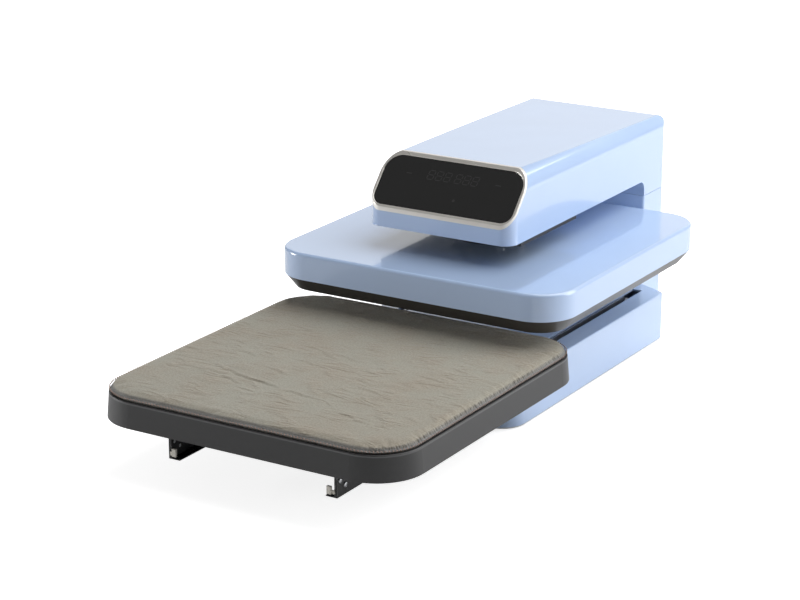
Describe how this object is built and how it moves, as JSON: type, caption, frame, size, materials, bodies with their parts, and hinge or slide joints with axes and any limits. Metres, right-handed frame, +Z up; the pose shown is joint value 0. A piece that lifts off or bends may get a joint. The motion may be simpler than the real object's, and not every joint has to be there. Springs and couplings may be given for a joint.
{
  "type": "automatic heat press",
  "caption": "Desktop heat press with a motor-driven heated plate above a padded drawer on telescopic slides.",
  "frame": {"origin": "on the table plane, under the middle of the whole machine with the drawer pulled out", "axes": "+Z up, +X to the right seen from the front, -Y towards the user and the pulled-out drawer"},
  "size_m": [0.407, 0.858, 0.2911],
  "materials": {
    "blue_gloss": "light blue, glossy moulded plastic",
    "dark_rim": "dark grey satin enamel",
    "graphite_tray": "graphite satin moulded glass-filled nylon",
    "cast_plate": "ground cast aluminium",
    "champagne_frame": "champagne anodised, satin",
    "display_glass": "black tinted glass",
    "black_steel": "black satin paint",
    "zinc_steel": "zinc plated, satin",
    "hard_steel": "ground and polished",
    "bronze": "turned bronze",
    "pad_fabric": "taupe woven heat-resistant cloth",
    "pad_silicone": "silicone sponge",
    "foot_rubber": "black rubber",
    "white_board": "mineral insulation board",
    "green_board": "circuit board lacquer",
    "black_plastic": "black moulded plastic",
    "digit_module": "dark digit module"
  },
  "bodies": {
    "frame": {"arm_frame": "zinc_steel", "arm_housing": "blue_gloss", "arm_pan": "black_steel", "base_housing": "blue_gloss", "column_frame": "zinc_steel", "column_housing": "blue_gloss", "control_board": "green_board", "display_bezel": "champagne_frame", "display_glass": "display_glass", "drive_bridge": "zinc_steel", "floor_plate": "zinc_steel", "foot_screws": "zinc_steel", "gear_motor": "black_steel", "gearbox": "cast_plate", "guide_bushes": "bronze", "inlet_pins": "hard_steel", "led_display": "digit_module", "power_board": "green_board", "power_inlet": "black_plastic", "rail_stand_left": "zinc_steel", "rail_stand_right": "zinc_steel", "rubber_feet": "foot_rubber", "slide_inner_left": "zinc_steel", "slide_inner_right": "zinc_steel", "solid_state_relay": "black_plastic", "switch_housing": "black_plastic"},
    "heating_head": {"guide_rods": "hard_steel", "head_bolts": "zinc_steel", "head_spacers": "zinc_steel", "heat_cover": "blue_gloss", "heat_rim": "dark_rim", "heating_element": "zinc_steel", "heating_platen": "cast_plate", "insulation_board": "white_board", "platen_standoffs": "zinc_steel", "pressure_plate": "zinc_steel", "ram_flange": "zinc_steel", "ram_nut": "bronze", "ram_tube": "hard_steel", "temperature_sensor": "zinc_steel"},
    "lead_screw": {"lead_screw": "zinc_steel"},
    "switch_rocker": {"switch_rocker": "black_plastic"},
    "drawer": {"bracket_screws": "zinc_steel", "drawer_tray": "graphite_tray", "pad_core": "pad_silicone", "pad_cover": "pad_fabric", "pad_plate": "cast_plate", "rail_bracket_left": "black_steel", "rail_bracket_right": "black_steel", "slide_bumpers": "zinc_steel", "slide_outer_left": "black_steel", "slide_outer_right": "black_steel"},
    "slide_middle_left": {"slide_middle_left": "zinc_steel"},
    "cage_outer_left": {"ball_cage_outer_left": "hard_steel"},
    "cage_inner_left": {"ball_cage_inner_left": "hard_steel"},
    "slide_middle_right": {"slide_middle_right": "zinc_steel"},
    "cage_outer_right": {"ball_cage_outer_right": "hard_steel"},
    "cage_inner_right": {"ball_cage_inner_right": "hard_steel"}
  },
  "joints": [
    {"name": "press_slide", "type": "slide", "parent": "frame", "child": "heating_head", "axis": [0, 0, -1], "range_m": [0, 0.0167]},
    {"name": "screw_spin", "type": "hinge", "parent": "frame", "child": "lead_screw", "pos_m": [0, 0.13346, 0.2], "axis": [0, 0, 1], "range_deg": [0, 756]},
    {"name": "drawer_slide", "type": "slide", "parent": "frame", "child": "drawer", "axis": [0, 1, 0], "range_m": [0, 0.346]},
    {"name": "switch_hinge", "type": "hinge", "parent": "frame", "child": "switch_rocker", "pos_m": [0.045, 0.42346, 0.04], "axis": [1, 0, 0], "range_deg": [0, 20]},
    {"name": "slide_middle_left_slide", "type": "slide", "parent": "frame", "child": "slide_middle_left", "axis": [0, 1, 0], "range_m": [0, 0.1735]},
    {"name": "cage_outer_left_slide", "type": "slide", "parent": "frame", "child": "cage_outer_left", "axis": [0, 1, 0], "range_m": [0, 0.26]},
    {"name": "cage_inner_left_slide", "type": "slide", "parent": "frame", "child": "cage_inner_left", "axis": [0, 1, 0], "range_m": [0, 0.087]},
    {"name": "slide_middle_right_slide", "type": "slide", "parent": "frame", "child": "slide_middle_right", "axis": [0, 1, 0], "range_m": [0, 0.1735]},
    {"name": "cage_outer_right_slide", "type": "slide", "parent": "frame", "child": "cage_outer_right", "axis": [0, 1, 0], "range_m": [0, 0.26]},
    {"name": "cage_inner_right_slide", "type": "slide", "parent": "frame", "child": "cage_inner_right", "axis": [0, 1, 0], "range_m": [0, 0.087]}
  ],
  "couplings": [
    {"joint": "screw_spin", "follows": "press_slide", "rad_per_m": 785.4},
    {"joint": "slide_middle_left_slide", "follows": "drawer_slide", "ratio": 0.5},
    {"joint": "cage_outer_left_slide", "follows": "drawer_slide", "ratio": 0.75},
    {"joint": "cage_inner_left_slide", "follows": "drawer_slide", "ratio": 0.25},
    {"joint": "slide_middle_right_slide", "follows": "drawer_slide", "ratio": 0.5},
    {"joint": "cage_outer_right_slide", "follows": "drawer_slide", "ratio": 0.75},
    {"joint": "cage_inner_right_slide", "follows": "drawer_slide", "ratio": 0.25}
  ]
}
